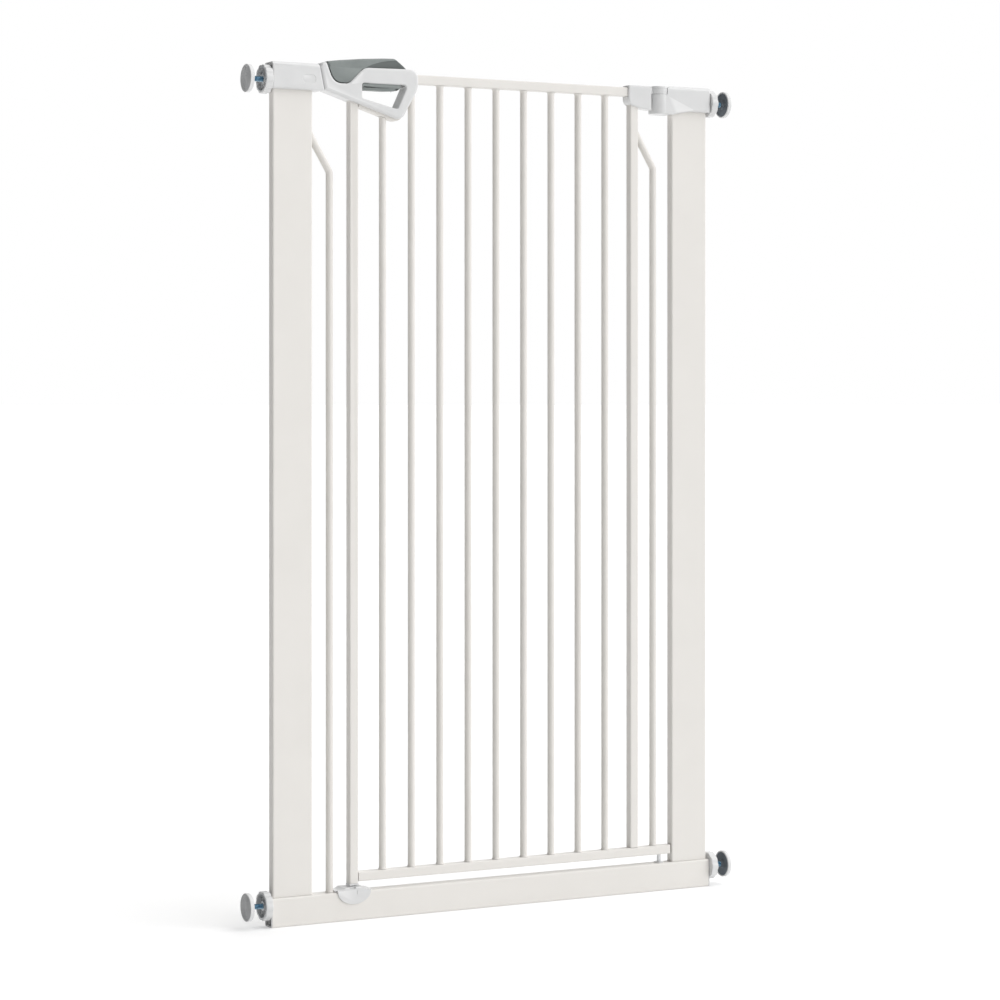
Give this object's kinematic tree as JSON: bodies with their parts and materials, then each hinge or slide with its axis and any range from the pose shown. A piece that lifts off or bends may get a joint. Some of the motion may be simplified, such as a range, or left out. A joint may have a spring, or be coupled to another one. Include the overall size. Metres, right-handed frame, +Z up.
{
  "type": "safety baby gate",
  "caption": "Extra-tall pressure-mounted safety gate: a steel frame on four screw pads and a barred hinged door with a double-lock handle.",
  "frame": {"origin": "middle of the bottom rail's underside, on the floor", "axes": "+Z up; +X from the latch side to the hinge side; -Y is the front"},
  "size_m": [0.8142, 0.0424, 1.2631],
  "materials": {
    "painted_steel": "warm white satin powder coat",
    "white_plastic": "white moulded plastic, fine satin",
    "grey_plastic": "grey moulded grip plastic",
    "grey_rubber": "soft grey rubber",
    "zinc_steel": "blue zinc plate"
  },
  "bodies": {
    "frame": {"left_post": "painted_steel", "right_post": "painted_steel", "bottom_rail": "painted_steel", "left_fixed_bar": "painted_steel", "rail_end_plug_left": "white_plastic", "rail_end_plug_right": "white_plastic", "left_casing_front": "white_plastic", "left_casing_back": "white_plastic", "right_casing_front": "white_plastic", "right_casing_back": "white_plastic", "upper_hinge_pin": "zinc_steel", "lower_hinge_bush": "white_plastic", "latch_keeper": "white_plastic", "casing_screw_left": "zinc_steel", "casing_screw_right": "zinc_steel"},
    "door": {"left_stile": "painted_steel", "right_stile": "painted_steel", "door_top_rail": "painted_steel", "door_bottom_rail": "painted_steel", "door_bar_1": "painted_steel", "door_bar_2": "painted_steel", "door_bar_3": "painted_steel", "door_bar_4": "painted_steel", "door_bar_5": "painted_steel", "door_bar_6": "painted_steel", "door_bar_7": "painted_steel", "door_bar_8": "painted_steel", "door_bar_9": "painted_steel", "door_bent_bar": "painted_steel", "handle_strap": "painted_steel", "hinge_bracket_front": "white_plastic", "hinge_bracket_back": "white_plastic", "lower_hinge_pin": "zinc_steel", "handle_front_shell": "white_plastic", "handle_back_shell": "white_plastic", "handle_screw": "zinc_steel", "stile_foot": "white_plastic", "lock_rod_guide": "white_plastic", "latch_spring": "zinc_steel", "lock_spring": "zinc_steel"},
    "latch": {"thumb_slide": "grey_plastic", "latch_bolt": "zinc_steel"},
    "lock": {"squeeze_trigger": "grey_plastic", "lock_rod": "zinc_steel"},
    "handwheel_bottom_left": {"handwheel_bottom_left": "white_plastic"},
    "screw_foot_bottom_left": {"spindle_bottom_left": "zinc_steel", "pad_cup_bottom_left": "white_plastic", "rubber_pad_bottom_left": "grey_rubber"},
    "handwheel_bottom_right": {"handwheel_bottom_right": "white_plastic"},
    "screw_foot_bottom_right": {"spindle_bottom_right": "zinc_steel", "pad_cup_bottom_right": "white_plastic", "rubber_pad_bottom_right": "grey_rubber"},
    "handwheel_top_left": {"handwheel_top_left": "white_plastic"},
    "screw_foot_top_left": {"spindle_top_left": "zinc_steel", "pad_cup_top_left": "white_plastic", "rubber_pad_top_left": "grey_rubber"},
    "handwheel_top_right": {"handwheel_top_right": "white_plastic"},
    "screw_foot_top_right": {"spindle_top_right": "zinc_steel", "pad_cup_top_right": "white_plastic", "rubber_pad_top_right": "grey_rubber"}
  },
  "joints": [
    {"name": "door_swing", "type": "hinge", "parent": "frame", "child": "door", "pos_m": [0.28595, 0, 0], "axis": [0, 0, 1], "range_deg": [-90, 90]},
    {"name": "latch_slide", "type": "slide", "parent": "door", "child": "latch", "axis": [1, 0, 0], "range_m": [0, 0.009], "stiffness_N_per_m": 300, "springref_m": -0.005, "deforming": ["latch_spring"]},
    {"name": "trigger_lift", "type": "slide", "parent": "door", "child": "lock", "axis": [0, 0, 1], "range_m": [0, 0.006], "stiffness_N_per_m": 400, "springref_m": -0.008, "deforming": ["lock_spring"]},
    {"name": "handwheel_turn_bottom_left", "type": "hinge", "parent": "frame", "child": "handwheel_bottom_left", "pos_m": [-0.37195, 0, 0.031], "axis": [-1, 0, 0], "range_deg": [-7200, 3456]},
    {"name": "spindle_slide_bottom_left", "type": "slide", "parent": "frame", "child": "screw_foot_bottom_left", "axis": [-1, 0, 0], "range_m": [-0.0121, 0.0251]},
    {"name": "handwheel_turn_bottom_right", "type": "hinge", "parent": "frame", "child": "handwheel_bottom_right", "pos_m": [0.37195, 0, 0.031], "axis": [1, 0, 0], "range_deg": [-7200, 3456]},
    {"name": "spindle_slide_bottom_right", "type": "slide", "parent": "frame", "child": "screw_foot_bottom_right", "axis": [1, 0, 0], "range_m": [-0.0121, 0.0251]},
    {"name": "handwheel_turn_top_left", "type": "hinge", "parent": "frame", "child": "handwheel_top_left", "pos_m": [-0.37195, 0, 1.2235], "axis": [-1, 0, 0], "range_deg": [-7200, 3456]},
    {"name": "spindle_slide_top_left", "type": "slide", "parent": "frame", "child": "screw_foot_top_left", "axis": [-1, 0, 0], "range_m": [-0.0121, 0.0251]},
    {"name": "handwheel_turn_top_right", "type": "hinge", "parent": "frame", "child": "handwheel_top_right", "pos_m": [0.37195, 0, 1.2235], "axis": [1, 0, 0], "range_deg": [-7200, 3456]},
    {"name": "spindle_slide_top_right", "type": "slide", "parent": "frame", "child": "screw_foot_top_right", "axis": [1, 0, 0], "range_m": [-0.0121, 0.0251]}
  ],
  "couplings": [
    {"joint": "spindle_slide_bottom_left", "follows": "handwheel_turn_bottom_left", "m_per_rad": -0.00019894},
    {"joint": "spindle_slide_bottom_right", "follows": "handwheel_turn_bottom_right", "m_per_rad": -0.00019894},
    {"joint": "spindle_slide_top_left", "follows": "handwheel_turn_top_left", "m_per_rad": -0.00019894},
    {"joint": "spindle_slide_top_right", "follows": "handwheel_turn_top_right", "m_per_rad": -0.00019894}
  ]
}
